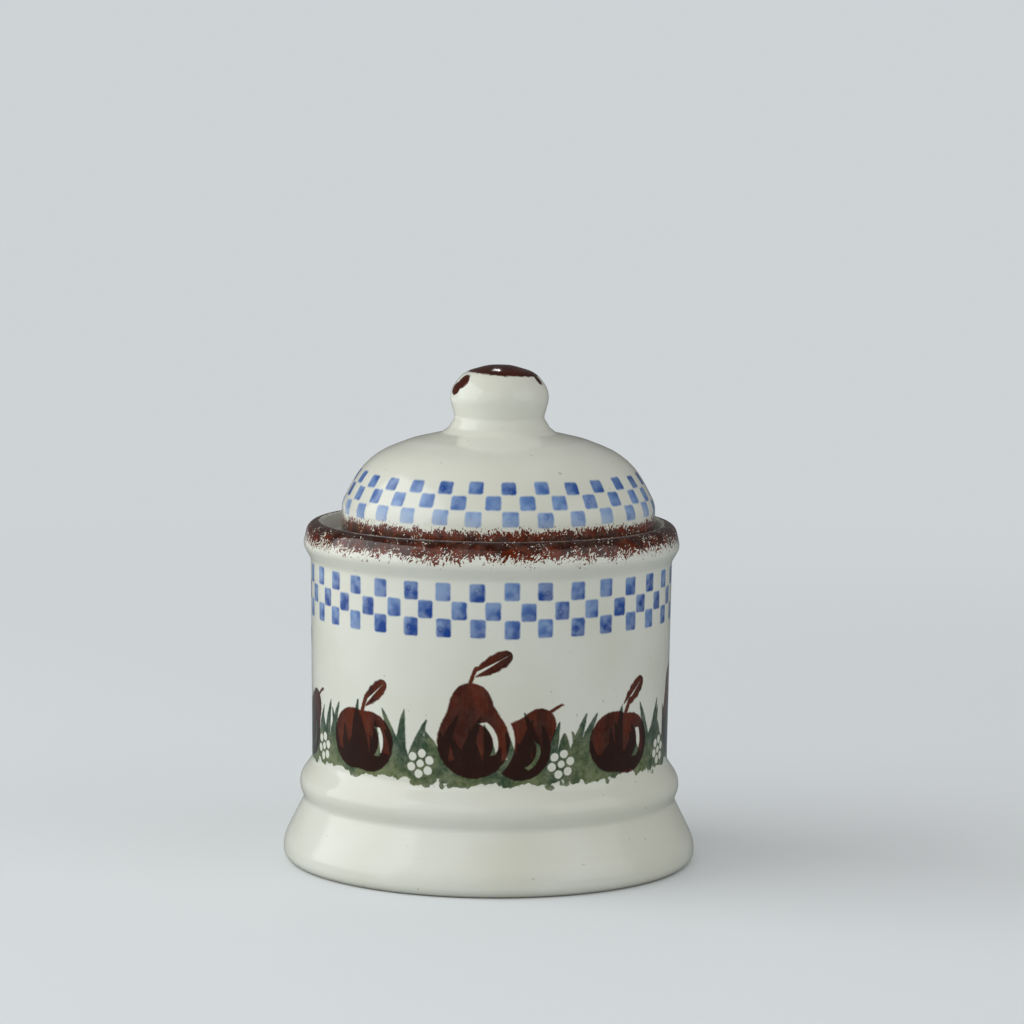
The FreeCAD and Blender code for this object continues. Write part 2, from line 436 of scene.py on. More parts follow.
# %% Floor
FLOOR_HALF = 4
FLOOR_TONE = paint(239, 243, 245)
FLOOR_BOUNCE = paint(126, 134, 136)
SCATTER = 0.5
AIR_TONE = paint(206, 211, 214)
HAZE_STARTS, HAZE_FULL = 0.12, 0.75
BRIGHT_STARTS, BRIGHT_FULL = -0.26, -0.48

floor_mesh = bpy.data.meshes.new("floor")
floor_corners = [(x * FLOOR_HALF, y * FLOOR_HALF, 0) for x, y in ((-1, -1), (1, -1), (1, 1), (-1, 1))]
floor_mesh.from_pydata(floor_corners, [], [(0, 1, 2, 3)])
floor = place_object("floor", floor_mesh)

floor_paint = bpy.data.materials.new("floor_paint")
floor_paint.use_nodes = True
floor_mesh.materials.append(floor_paint)
board = floor_paint.node_tree
matt = board.nodes["Principled BSDF"]
give(board, matt, Roughness=0.9, Specular_IOR_Level=0.2)

spot = add(board, "ShaderNodeTexCoord").outputs["Object"]
ray = add(board, "ShaderNodeLightPath")
seen = num(board, ray, "Is Camera Ray")
scattered = num(board, ray, "Is Diffuse Ray") * SCATTER
bright_side = split(board, spot)[0].smooth(BRIGHT_STARTS, BRIGHT_FULL)
pale = bright_side.op("MAXIMUM", seen).op("MAXIMUM", scattered)
give(board, matt, Base_Color=mix_colour(board, pale, FLOOR_BOUNCE, FLOOR_TONE))
distance = add(board, "ShaderNodeVectorMath", {"operation": "LENGTH"}, Vector=spot)
far = num(board, distance, "Value").smooth(HAZE_STARTS, HAZE_FULL)
haze = add(board, "ShaderNodeEmission", Color=AIR_TONE)
floor_look = mix_shaders(board, far * seen, matt.outputs[0], haze.outputs[0])
give(board, board.nodes["Material Output"], Surface=floor_look)
print("floor:", 2 * FLOOR_HALF, "m wide,", len(board.nodes), "nodes")

# %% [markdown]
# The air of the studio is one even tone to the camera. It gives the pot some soft light from all round, and
# the glaze mirrors very little of it, so that the lamps keep the reflections to themselves.

# %% Air
WHITE = (1, 1, 1, 1)
AIR_LIGHT = 0.44
AIR_MIRRORED = 0.1

world = bpy.data.worlds.new("studio_air")
bpy.context.scene.world = world
world.use_nodes = True
air = world.node_tree
air.nodes.clear()
lit, glossy, plain = (
    add(air, "ShaderNodeBackground", Color=tone, Strength=strength).outputs[0]
    for tone, strength in ((WHITE, AIR_LIGHT), (WHITE, AIR_MIRRORED), (AIR_TONE, 1.0))
)
ray = add(air, "ShaderNodeLightPath")
mirrored = mix_shaders(air, ray.outputs["Is Glossy Ray"], lit, glossy)
air_look = mix_shaders(air, ray.outputs["Is Camera Ray"], mirrored, plain)
add(air, "ShaderNodeOutputWorld", Surface=air_look)
bpy.context.scene.view_settings.view_transform = "Standard"
print("air:", len(air.nodes), "nodes")

# %% [markdown]
# Glossy ware mirrors its surroundings, so light is shaped by what it mirrors: a big soft window on the
# left, weaker fills in front and on the right, and two narrow strips for the small bright dashes.


# %% Lamps
MID_POT = (0, 0, 0.06)
KNOB = (0, 0, 0.12)


def softbox(name, place, target, width, height, watts, tone=(1, 1, 1), roll=0.0):
    """A rectangular lamp at `place` that faces `target`, turned by `roll` about that line."""
    lamp = bpy.data.lights.new(name, "AREA")
    lamp.shape = "RECTANGLE"
    lamp.size, lamp.size_y = width, height
    lamp.energy = watts
    lamp.color = tone
    box = place_object(name, lamp)
    facing = (Vector(target) - Vector(place)).to_track_quat("-Z", "Y")
    turned = facing.to_matrix() @ Matrix.Rotation(roll, 3, "Z")
    box.matrix_world = Matrix.Translation(place) @ turned.to_4x4()


softbox("left_box", (-1.45, -0.17, 0.5), MID_POT, 1.8, 1.9, watts=21.5, tone=(0.96, 0.99, 1.0))
softbox("front_fill", (-0.7, -1.5, 0.7), MID_POT, 1.6, 1.2, watts=4.4)
softbox("right_fill", (1.3, -0.7, 0.5), MID_POT, 1.4, 1.4, watts=5.3, tone=(0.97, 1.0, 1.0))
softbox("front_strip", (-0.5, -1.25, 1.3), MID_POT, 0.55, 0.05, watts=0.3)
softbox("top_strip", (-0.03, 0.95, 0.85), KNOB, 0.09, 0.018, watts=0.1, roll=-0.6)
print("lamps:", sorted(lamp.name for lamp in bpy.data.lights))

# %% [markdown]
# ## Finding the way round a pot
# Every print sits at some angle round the pot and some height up it. This group turns a point on the
# surface into that pair, in radians and millimetres, with zero at the front. The lid has slid a little, so
# it measures from its own middle.


# %% Where on the pot
def apart(x, y):
    """How far (x, y) lies from the origin."""
    return (x * x + y * y).op("SQRT")


def make_around():
    outputs = {"Around": "num", "Out": "num", "Up": "num", "Place": "vector"}
    tree, got, end = new_group("Around and up", numbers("Shift"), outputs)
    x, y, z = (part * (1 / MM) for part in split(tree, add(tree, "ShaderNodeTexCoord").outputs["Object"]))
    x = x - got["Shift"]
    give(tree, end, Around=x.op("ARCTAN2", y * -1.0), Out=apart(x, y), Up=z, Place=join(tree, x, y, z))
    return tree


AROUND = make_around()
print("around-and-up group:", len(AROUND.nodes), "nodes")


# %% Helpers for patterns
def place_group(tree, group, **inputs):
    """Places a node group and returns its outputs by name. Single values come back as Num."""
    node = add(tree, "ShaderNodeGroup", {"node_tree": group}, **inputs)
    return {s.name: Num(tree, s) if s.type == "VALUE" else s for s in node.outputs}


def noise_at(tree, place, size, detail=2.0, rough=0.5):
    """Noise whose lumps are about `size` millimetres wide, from 0 to 1 round 0.5."""
    node = add(tree, "ShaderNodeTexNoise", Vector=place, Scale=1.0 / size, Detail=detail, Roughness=rough)
    return num(tree, node, "Fac")


def scale_place(tree, place, factors):
    node = add(tree, "ShaderNodeVectorMath", {"operation": "MULTIPLY"}, Vector=place)
    node.inputs[1].default_value = factors
    return node.outputs[0]


def random_at(tree, first, second):
    """Three random numbers from 0 to 1 that depend on two numbers."""
    spot = join(tree, first, second, 0.0)
    node = add(tree, "ShaderNodeTexWhiteNoise", {"noise_dimensions": "2D"}, Vector=spot)
    return split(tree, node.outputs["Color"])


def round_reach(x, y, radius):
    """Millimetres inside a circle about the origin, negative outside it."""
    return radius - apart(x, y)


def most(first, *others):
    """The greatest of several numbers, which lays one mask over another."""
    for other in others:
        first = first.op("MAXIMUM", other)
    return first


def thinned(mask, least, amount):
    """The mask with its ink thinned: `least` of full cover where `amount` is 0, and full where it is 1."""
    return mask * (least + amount * (1 - least))


print("pattern helpers ready")

# %% [markdown]
# ## Prints from a cut sponge
# A sponge print isn't an even patch of colour. Its outline is soft and slightly torn, pigment gathers in
# places, and tiny bubbles leave pale specks. `Sponge grain` gives that unevenness, and every print uses it:
# `Tone` says how dark the pigment lies, `Wash` how thickly it covers, and `Tear` how the outline frays.


# %% Sponge grain
def make_grain():
    tree, got, end = new_group("Sponge grain", {"Place": "vector"}, numbers("Tone Wash Tear"))
    place = got["Place"]
    pools = noise_at(tree, place, 3.2, 3.0, 0.6).smooth(0.32, 0.66)
    pores = noise_at(tree, place, 0.75, 2.0, 0.6).smooth(0.35, 0.65)
    wash = noise_at(tree, place, 2.4, 1.0, 0.4).smooth(0.3, 0.7)
    tear = (noise_at(tree, place, 1.3, 3.0, 0.65) - 0.5) * 2.0
    give(tree, end, Tone=pools * 0.7 + pores * 0.3, Wash=wash, Tear=tear)
    return tree


GRAIN = make_grain()
print("grain group:", len(GRAIN.nodes), "nodes")


# %% Rows of sponged squares
SQUARE_SLIP_ROUND, SQUARE_SLIP_UP = 0.5, 0.45
SQUARE_CORNER = 0.6
SQUARE_TORN = 0.2
SQUARE_SOFT = 0.28
BUBBLE_STRAY, BUBBLE_R, BUBBLE_RIM = 1.8, 0.5, 0.42


def repeat_round(tree, got):
    """Cuts the way round into equal cells: the place across one, -0.5 to 0.5, and its random numbers."""
    turn = got["Around"] * got["Count"] / math.tau + got["Phase"]
    cell = turn.op("FLOOR").op("WRAP", got["Count"], 0.0)
    return turn.op("FRACT") - 0.5, random_at(tree, cell, got["Seed"])


def make_squares():
    inputs = numbers("Around Up Tear Count Phase Middle Pitch Width Height Seed")
    tree, got, end = new_group("Sponged squares", inputs, numbers("Mask Tone"))
    across, (first, second, third) = repeat_round(tree, got)
    x = across * got["Pitch"] + (first - 0.5) * SQUARE_SLIP_ROUND
    z = got["Up"] - got["Middle"] + (second - 0.5) * SQUARE_SLIP_UP
    over_x = abs(x) - got["Width"] * 0.5 + SQUARE_CORNER
    over_z = abs(z) - got["Height"] * 0.5 + SQUARE_CORNER
    outside = apart(over_x.op("MAXIMUM", 0.0), over_z.op("MAXIMUM", 0.0))
    inside = over_x.op("MAXIMUM", over_z).op("MINIMUM", 0.0)
    distance = outside + inside - SQUARE_CORNER + got["Tear"] * SQUARE_TORN
    mask = distance.smooth(-SQUARE_SOFT, SQUARE_SOFT)
    # Some squares show the dark ring that a bubble leaves, and each is shaded from one corner to the other.
    bubble = round_reach(x - (first - 0.5) * BUBBLE_STRAY, z - (second - 0.5) * BUBBLE_STRAY, BUBBLE_R)
    ring = (BUBBLE_RIM - abs(bubble)).smooth(0.0, 0.3) * third.smooth(0.6, 0.7) * 0.3
    shade = 0.5 + x * 0.12 - z * 0.1 + (third - 0.5) * 0.5 + ring
    give(tree, end, Mask=1.0 - mask, Tone=shade)
    return tree


SQUARES = make_squares()
print("squares group:", len(SQUARES.nodes), "nodes")


# %% Ragged fringe of a dabbed edge
SHEET_R = 44.0
DAB_SIZE = 4.5
SWAY_SIZE = 2.6
BRISTLE_SIZE = 0.43
BRISTLE_DRAWN = 0.42
SPECK_SIZE = 0.52


def noise_round(tree, around, seed, run, size, detail, rough):
    """Noise that goes round with the ware, so that its bristles can be drawn out along the way down it."""
    place = join(tree, around.op("SINE") * SHEET_R + seed, around.op("COSINE") * SHEET_R, run)
    return noise_at(tree, place, size, detail, rough)


def make_fringe():
    inputs = numbers("Around Out Up Level Reach Lean Seed")
    tree, got, end = new_group("Ragged fringe", inputs, numbers("Mask"))
    around, seed = got["Around"], got["Seed"]
    run = got["Up"] - got["Out"]
    dabs = noise_round(tree, around, seed, run, DAB_SIZE, 1.0, 0.5)
    sway = noise_round(tree, around, seed + 9.0, run, SWAY_SIZE, 0.0, 0.5) - 0.5
    angle = around + got["Up"] * got["Lean"] + sway * 0.06
    bristles = noise_round(tree, angle, seed, run * BRISTLE_DRAWN, BRISTLE_SIZE, 2.0, 0.6)
    specks = noise_round(tree, angle, seed, run + 7.0, SPECK_SIZE, 1.0, 0.5)
    ragged = (bristles - 0.5) * 4.4 + (dabs - 0.5) * 1.6 + (specks - 0.5) * 2.0
    depth = got["Level"] / got["Reach"]
    edge = (depth * 0.8 + ragged).smooth(-0.1, 0.14)
    flecks = (specks * 0.5 + bristles * 0.5 + depth * 0.02 + (dabs - 0.5) * 0.3).smooth(0.36, 0.42)
    give(tree, end, Mask=edge * flecks)
    return tree


FRINGE = make_fringe()
print("fringe group:", len(FRINGE.nodes), "nodes")

# %% [markdown]
# The frieze is cut as a few stamps: a leaf, a blade of grass, a pear and an apple. Each stamp has its own
# small sheet of coordinates: X across the print and Y along it, in millimetres. `Printed round` repeats
# that sheet round the pot, and lets each print slip and turn a little, as a hand does.

# %% Stamps repeated round the pot
SLIP_ROUND = 1.4
SLIP_UP = 0.8
SLIP_TURN = 0.12


def make_printed_round():
    inputs = numbers("Around Up Count Phase Radius Aside Height Turn Loose Seed")
    tree, got, end = new_group("Printed round", inputs, numbers("X Y"))
    across, (first, second, third) = repeat_round(tree, got)
    x = across * math.tau * got["Radius"] / got["Count"] + (first - 0.5) * SLIP_ROUND - got["Aside"]
    z = got["Up"] - got["Height"] + (second - 0.5) * SLIP_UP * got["Loose"]
    angle = got["Turn"] + (third - 0.5) * SLIP_TURN * got["Loose"]
    cosine, sine = angle.op("COSINE"), angle.op("SINE")
    give(tree, end, X=x * cosine - z * sine, Y=x * sine + z * cosine)
    return tree


PRINTED = make_printed_round()
print("printing group:", len(PRINTED.nodes), "nodes")


# %% The leaf stamp
LOBES, LOBE_DEPTH, LOBE_LEAN = 5.0, 0.08, 1.2


def make_leaf():
    inputs = numbers("X Y Tear Length Width")
    tree, got, end = new_group("Leaf stamp", inputs, numbers("Mask"))
    along = got["Y"] / got["Length"]
    across = abs(got["X"])
    # The blade swells fast from its stalk and tapers to its tip, and its edge is cut into shallow lobes.
    swell = along.op("POWER", 0.75) * (1.0 - along).op("POWER", 0.45) * 1.62 - 0.04
    lean = along * LOBES - across / got["Length"] * LOBE_LEAN
    wave = (lean * math.tau).op("COSINE")
    half = got["Width"] * 0.5 * swell * (1.0 - (0.5 + wave * 0.5) * LOBE_DEPTH)
    inside = along.smooth(-0.01, 0.01) * (1.0 - along.smooth(0.985, 1.0))
    blade = (half - across + got["Tear"] * 0.35).smooth(-0.22, 0.3) * inside
    # Its rib is a bare line that thins out towards the tip.
    beside_rib = (across - 0.42 + along * 0.55 + got["Tear"] * 0.12).smooth(-0.15, 0.15)
    give(tree, end, Mask=blade * beside_rib)
    return tree


LEAF = make_leaf()
print("leaf stamp:", len(LEAF.nodes), "nodes")


# %% The grass stamp
TIP_TAPER = 0.62


def make_grass():
    inputs = numbers("X Y Tear Length Width Bend")
    tree, got, end = new_group("Grass stamp", inputs, numbers("Mask"))
    along = got["Y"] / got["Length"]
    across = abs(got["X"] - got["Y"] * got["Y"] * got["Bend"])
    half = got["Width"] * 0.5 * (1.0 - along).op("POWER", TIP_TAPER)
    blade = (half - across + got["Tear"] * 0.3).smooth(-0.2, 0.25)
    inside = (got["Y"] + 1.5).smooth(-0.5, 0.5) * (1.0 - along.smooth(0.97, 1.0))
    give(tree, end, Mask=blade * inside)
    return tree


GRASS = make_grass()
print("grass stamp:", len(GRASS.nodes), "nodes")


# %% The fruit stamps
GLINT_HALF = 0.62
TWIG_HALF = 0.6
TWIG_BEND = 0.02


def make_fruit(name, lobes, blend, glint, stalk):
    """Blended circles (x, y, radius), a bare glint (x, y, radius, low, high) and a stalk's two ends."""
    tree, got, end = new_group(name, numbers("X Y Tear Size"), numbers("Mask Reach"))
    x = got["X"] / got["Size"]
    y = got["Y"] / got["Size"]
    reach, *others = (round_reach(x - lobe_x, y - lobe_y, radius) for lobe_x, lobe_y, radius in lobes)
    for other in others:
        reach = reach.op("SMOOTH_MAX", other, blend)
    arc_x, arc_y, arc_radius, low, high = glint
    arc = GLINT_HALF - abs(round_reach(x - arc_x, y - arc_y, arc_radius))
    arc = arc.op("MINIMUM", y - low).op("MINIMUM", high - y).op("MINIMUM", x - arc_x)
    (foot_x, foot_y), (top_x, top_y) = stalk
    lean = (top_x - foot_x) / (top_y - foot_y)
    rise = y - foot_y
    twig = TWIG_HALF - abs(x - foot_x - rise * lean - rise * rise * TWIG_BEND)
    twig = twig.op("MINIMUM", rise).op("MINIMUM", top_y - y)
    whole = most(reach, twig) * got["Size"]
    cut_away = (arc + got["Tear"] * 0.12).smooth(-0.15, 0.2)
    mask = (whole + got["Tear"] * 0.3).smooth(-0.2, 0.26) * (1.0 - cut_away)
    give(tree, end, Mask=mask, Reach=whole)
    return tree


PEAR = make_fruit(
    "Pear stamp",
    lobes=[(0, 0, 8.8), (0.6, 9.6, 4.7)],
    blend=7.0,
    glint=(-0.6, -0.4, 5.9, -3.6, 4.4),
    stalk=((0.6, 13.0), (2.6, 18.0)),
)
APPLE = make_fruit(
    "Apple stamp",
    lobes=[(-2.4, 0, 6.6), (2.4, 0, 6.6)],
    blend=1.6,
    glint=(0.6, 0.2, 5.2, -2.8, 3.4),
    stalk=((0.0, 5.0), (0.9, 10.0)),
)
print("fruit stamps:", len(PEAR.nodes), len(APPLE.nodes), "nodes")

# %% [markdown]
# ## Glaze
# The ware is cream stoneware under a clear, glossy glaze. Its cream varies slowly, because the glaze pools
# and thins, and a few iron specks show in it. Turning leaves fine rings, strongest on the foot, and a soft
# orange-peel keeps reflections from looking like those in polished metal.


# %% Glaze body colour and surface
CREAM = paint(224, 225, 214)
CREAM_THICK = paint(219, 219, 205)
SPECK = paint(150, 140, 120)
FOOT_ENDS, BODY_STARTS = 12.0, 24.0


def make_glaze():
    inputs = {"Place": "vector", "Up": "num"}
    outputs = {"Cream": "colour", "Height": "num", "Gloss": "num"}
    tree, got, end = new_group("Glaze body", inputs, outputs)
    place = got["Place"]
    cream = mix_colour(tree, noise_at(tree, place, 26.0).smooth(0.35, 0.65), CREAM, CREAM_THICK)
    specks = noise_at(tree, place, 1.3, 0.0).smooth(0.84, 0.87)
    cream = mix_colour(tree, specks * 0.4, cream, SPECK)
    above_foot = got["Up"].smooth(FOOT_ENDS, BODY_STARTS)
    rings = noise_at(tree, scale_place(tree, place, (0.05, 0.05, 1.0)), 1.6)
    peel = noise_at(tree, place, 2.4, 1.0)
    swell = noise_at(tree, place, 9.0, 1.0)
    fine = noise_at(tree, place, 5.0, 3.0, 0.55)
    height = rings * (1.0 - above_foot * 0.6) + peel * 0.1 + swell * 0.6
    give(tree, end, Cream=cream, Height=height, Gloss=0.17 - above_foot * 0.06 + (fine - 0.5) * 0.06)
    return tree


GLAZE = make_glaze()
print("glaze group:", len(GLAZE.nodes), "nodes")


# %% The glossy material that both pieces share
def glazed_material(name):
    """A Principled material set up as glossy glaze, with its colour and height still to be joined."""
    material = bpy.data.materials.new(name)
    material.use_nodes = True
    tree = material.node_tree
    shader = tree.nodes["Principled BSDF"]
    give(tree, shader, IOR=1.5, Specular_IOR_Level=0.36, Coat_Weight=0.12, Coat_Roughness=0.06)
    return material, tree, shader


def finish_glaze(tree, shader, colour, gloss, height):
    """Joins the finished colour, roughness and surface height to the material."""
    bump = add(tree, "ShaderNodeBump", Strength=0.35, Distance=0.00025, Height=height)
    give(tree, shader, Base_Color=colour, Roughness=gloss, Normal=bump.outputs["Normal"])


print("glossy glaze ready")

# %% The printer's colours
BROWN = paint(78, 29, 9)
BROWN_DEEP = paint(48, 15, 5)
MOTIF = paint(88, 31, 6)
MOTIF_DEEP = paint(58, 17, 4)
OVERPRINT = paint(34, 11, 4)
GREEN = paint(98, 108, 64)
GREEN_DEEP = paint(42, 66, 46)
RUST = paint(104, 38, 11)
BLUE_LIGHT = paint(114, 146, 194)
BLUE_DEEP = paint(20, 63, 140)
LID_BLUE_LIGHT = paint(120, 154, 202)
LID_BLUE_DEEP = paint(36, 74, 144)
BUFF = paint(190, 172, 146)
print("the rim's brown is", [round(part, 3) for part in BROWN_DEEP[:3]], "in linear light")

# %% [markdown]
# ## The pot's finish
# From the top down: a rim dabbed brown with a torn sponge, three rows of blue squares, and a frieze of
# windfall fruit. The fruit is stamped in brown, and grass is printed in green over its feet, so where the
# two inks lie one on the other the colour goes nearly black. Flowers and glints are places where the sponge
# was cut away, so the cream shows there. On the real pot each colour would be one pass round it; here each
# is one mask.

# %% Pot glaze: the body and its rows of squares
pot_glaze, tree, shader = glazed_material("pot_glaze")
around, out, up, place = place_group(tree, AROUND, Shift=0.0).values()
tone, wash, tear = place_group(tree, GRAIN, Place=place).values()
body = place_group(tree, GLAZE, Place=place, Up=up)
outside = out.smooth(BODY_R - 2.2, BODY_R - 1.6)


def square_rows(count, radius, rows, seed):
    """Rows of squares as one mask and one tone. Each row is its middle, phase, width and height."""
    prints = [
        place_group(
            tree, SQUARES, Around=around, Up=up, Tear=tear, Count=count, Phase=phase, Middle=middle,
            Pitch=math.tau * radius / count, Width=width, Height=height, Seed=float(seed + row),
        )
        for row, (middle, phase, width, height) in enumerate(rows)
    ]
    toned = [one["Tone"] * one["Mask"] for one in prints]
    return most(*(one["Mask"] for one in prints)) * outside, toned[0] + toned[1] + toned[2]


pot_rows = ((70.7, 0.897, 3.6, 4.3), (66.15, 0.406, 3.6, 4.3), (62.1, 0.897, 3.6, 4.4))
blue_mask, blue_tone = square_rows(34.0, BODY_R, pot_rows, seed=3)
print("pot_glaze with its squares:", len(tree.nodes), "nodes")

# %% Pot glaze: fruit in brown
PAIRS, SINGLES = 0.5, 0.0


def sheet_round(count, phase, aside, height, turn, loose, seed):
    """The X and Y of a stamp's own sheet, repeated round the body and turned by `turn` radians."""
    return place_group(
        tree, PRINTED, Around=around, Up=up, Count=float(count), Phase=phase, Radius=BODY_R, Aside=aside,
        Height=height, Turn=turn, Loose=float(loose), Seed=float(seed),
    )


def stamp(group, count, phase, aside, height, turn, loose, seed, **inputs):
    """One stamp repeated round the body and turned by `turn` degrees. A loose one slips and turns more."""
    sheet = sheet_round(count, phase, aside, height, math.radians(turn), loose, seed)
    return place_group(tree, group, **sheet, Tear=tear, **inputs)


# A pair of pears and a single apple take turns in the grass, half a step apart.
front = stamp(PEAR, 4, PAIRS, -4.0, 35.4, -9, 1, 11, Size=0.98)
behind = stamp(PEAR, 4, PAIRS, 7.2, 33.4, 32, 1, 11, Size=0.8)
apple = stamp(APPLE, 4, SINGLES, 0.0, 33.6, 6, 1, 12, Size=1.1)
pear_leaf = stamp(LEAF, 4, PAIRS, -4.6, 51.0, 60, 0, 11, Length=11.0, Width=6.4)
apple_leaf = stamp(LEAF, 4, SINGLES, 0.4, 41.8, 48, 0, 12, Length=10.0, Width=6.0)
gap = 1.0 - (front["Reach"] + tear * 0.2).smooth(-1.3, -0.9)
fruit = (front["Mask"], behind["Mask"] * gap, apple["Mask"])
brown_mask = most(*fruit, pear_leaf["Mask"], apple_leaf["Mask"])
print("pot_glaze with its fruit:", len(tree.nodes), "nodes")

# %% Pot glaze: grass in green, with flowers left bare
ROOTS = 27.0
# Each set of blades: how many, phase, aside, turn, looseness, length, width and bend.
blades = (
    (20, 0.05, 0, 5, 3, 15.5, 4.2, 0.008),
    (25, 0.42, 0, -10, 4, 12.5, 4.0, -0.012),
    (29, 0.7, 0, 17, 4, 10.5, 3.8, 0.014),
    (35, 0.2, 0, -20, 4, 9.5, 3.8, -0.01),
    (31, 0.8, 0, -2, 4, 12.0, 3.6, 0.0),
    (8, 0.0, -4.6, -9, 2, 17.0, 4.2, -0.008),
    (8, 0.0, -2.2, 4, 2, 14.0, 4.0, 0.01),
    (8, 0.0, 4.4, 12, 2, 15.5, 4.2, 0.01),
    (8, 0.0, 1.2, -3, 2, 10.5, 6.0, 0.0),
)
grass = [
    stamp(GRASS, count, phase, aside, ROOTS, turn, loose, 21 + row, Length=length, Width=width, Bend=bend)
    for row, (count, phase, aside, turn, loose, length, width, bend) in enumerate(blades)
]
lumps = noise_at(tree, place, 7.0)
bites = noise_at(tree, place, 2.6, 1.0)
soil = (up + tear * 0.8 + (lumps - 0.5) * 4.5 + (bites - 0.5) * 3.6).smooth(25.4, 25.8)
turf = 1.0 - (up + tear + (lumps - 0.5) * 4.0).smooth(31.0, 31.6)
under_mask = most(turf, *(tuft["Mask"] for tuft in grass)) * soil

# A flower is six dots in a ring about a seventh. Folding the angle into six sectors draws them all at once.
PETALS, PETAL_REACH, PETAL_R, HEART_R = 6.0, 2.45, 1.0, 0.9
x, y = sheet_round(8, 0.0, 0.8, 30.0, 0.2, 1.2, 31).values()
arm = apart(x, y)
sector = x.op("ARCTAN2", y) * PETALS / math.tau
turned = (sector - sector.op("ROUND")) * math.tau / PETALS
petals = round_reach(arm * turned.op("COSINE") - PETAL_REACH, arm * turned.op("SINE"), PETAL_R)
flower_mask = (most(petals, HEART_R - arm) + tear * 0.2).smooth(-0.16, 0.16)
green_mask = under_mask * (1.0 - flower_mask)
print("pot_glaze with its grass:", len(tree.nodes), "nodes")


# %% Pot glaze: the colours laid one over another
def dab_brown(colour, level, reach, lean, seed, within=1.0):
    """Dabs brown over the colour where `level` is above 0, with an edge ragged over `reach` millimetres."""
    dabbed = place_group(
        tree, FRINGE, Around=around, Out=out, Up=up, Level=level, Reach=reach, Lean=lean, Seed=seed
    )
    dense = (level * 0.3 + (tone - 0.5) * 1.3).smooth(-0.1, 1.1)
    brown = mix_colour(tree, dense, RUST, BROWN_DEEP)
    return mix_colour(tree, thinned(dabbed["Mask"] * within, 0.97, wash), colour, brown)


RIM_BROWN_Z, RIM_BROWN_IN = 78.5, 2.6
depth = tone * 0.5 + noise_at(tree, place, 8.0).smooth(0.3, 0.7) * 0.5 + (up - 29.0) * 0.035
leafy = mix_colour(tree, depth.smooth(0.0, 1.0), GREEN, GREEN_DEEP)
colour = mix_colour(tree, thinned(green_mask * outside, 0.88, tone), body["Cream"], leafy)
drawn = noise_at(tree, scale_place(tree, place, (1.0, 1.0, 0.25)), 4.0, 3.0, 0.6)
motif = mix_colour(tree, drawn.smooth(0.35, 0.65), MOTIF, MOTIF_DEEP)
motif = mix_colour(tree, under_mask * 0.9, motif, OVERPRINT)
colour = mix_colour(tree, thinned(brown_mask * outside, 0.98, tone), colour, motif)
blue = mix_colour(tree, (blue_tone + (wash - 0.5) * 0.4).smooth(-0.1, 1.1), BLUE_LIGHT, BLUE_DEEP)
colour = mix_colour(tree, thinned(blue_mask, 0.86, wash), colour, blue)
rim_level = (up - RIM_BROWN_Z).op("MINIMUM", (out - (CREST_R - RIM_BROWN_IN)) * 6.0)
colour = dab_brown(colour, rim_level, reach=1.7, lean=-0.008, seed=5.0)
# The foot ring stands bare of glaze, in the buff of the clay.
bare = (1.0 - up.smooth(0.15, 0.4)) * out.smooth(FOOT_R - 9.8, FOOT_R - 9.2)
colour = mix_colour(tree, bare, colour, BUFF)
finish_glaze(tree, shader, colour, body["Gloss"] + bare * 0.6, body["Height"])
print("pot_glaze:", len(tree.nodes), "nodes")

# %% [markdown]
# ## The lid's finish
# The lid carries the same squares, thinner and paler, above a brown edge, and its knob has been dabbed on
# top. A drip on one side of the knob and a stray dab on the other are what a loaded sponge leaves there.

# %% Lid glaze: squares and edge
lid_glaze, tree, shader = glazed_material("lid_glaze")
around, out, above_table, place = place_group(tree, AROUND, Shift=LID_SHIFT).values()
tone, wash, tear = place_group(tree, GRAIN, Place=place).values()
body = place_group(tree, GLAZE, Place=place, Up=above_table)
up = above_table - SEAT_Z
outside = (out + up * 0.5).smooth(38.8, 39.4) * (1.0 - up.smooth(22.5, 23.5))

EDGE_BROWN_Z = 5.5
LID_PRINT_R = 36
lid_rows = ((15.0, 0.18, 3.7, 2.8), (11.8, 0.68, 3.7, 3.2), (8.2, 0.18, 3.8, 3.6))
blue_mask, blue_tone = square_rows(28.0, LID_PRINT_R, lid_rows, seed=13)
loaded = blue_tone * 0.7 + (wash - 0.5) * 0.35 + (up - 11.0) * 0.06
blue = mix_colour(tree, loaded, LID_BLUE_LIGHT, LID_BLUE_DEEP)
washed = (up + (blue_tone - 0.5) * 3.0).smooth(3.5, 11.0)
colour = mix_colour(tree, blue_mask * (0.5 + washed * 0.42 + wash * 0.08), body["Cream"], blue)
skirt = out.smooth(35.6, 36.4)
colour = dab_brown(colour, EDGE_BROWN_Z - up, reach=1.1, lean=-0.004, seed=90.0, within=skirt)
print("lid_glaze with its squares:", len(tree.nodes), "nodes")

# %% Lid glaze: the dabbed knob
CAP_Z = 39.5
DAB_TURN, DAB_Z = -1.12, 37.1
DRIP_TURN, DRIP_Z = 1.2, 38.4

wander = (noise_at(tree, place, 6.0, 1.0) - 0.5) * 2.2
cap = up - CAP_Z + wander * 0.25 + around.op("SINE") * 0.55
dab_x, dab_z = (around - DAB_TURN) * 8.0, up - DAB_Z
dab = most(round_reach(dab_x - 0.7, dab_z - 0.7, 1.7), round_reach(dab_x + 0.6, dab_z + 1.0, 1.6))
drip = round_reach((around - DRIP_TURN) * 9.0, (up - DRIP_Z) * 0.8, 1.1)
dabbed = (most(cap, dab, drip) + tear * 0.3).smooth(-0.15, 0.2)
colour = mix_colour(tree, dabbed, colour, mix_colour(tree, tone, BROWN, BROWN_DEEP))
finish_glaze(tree, shader, colour, body["Gloss"], body["Height"])
print("lid_glaze:", len(tree.nodes), "nodes")

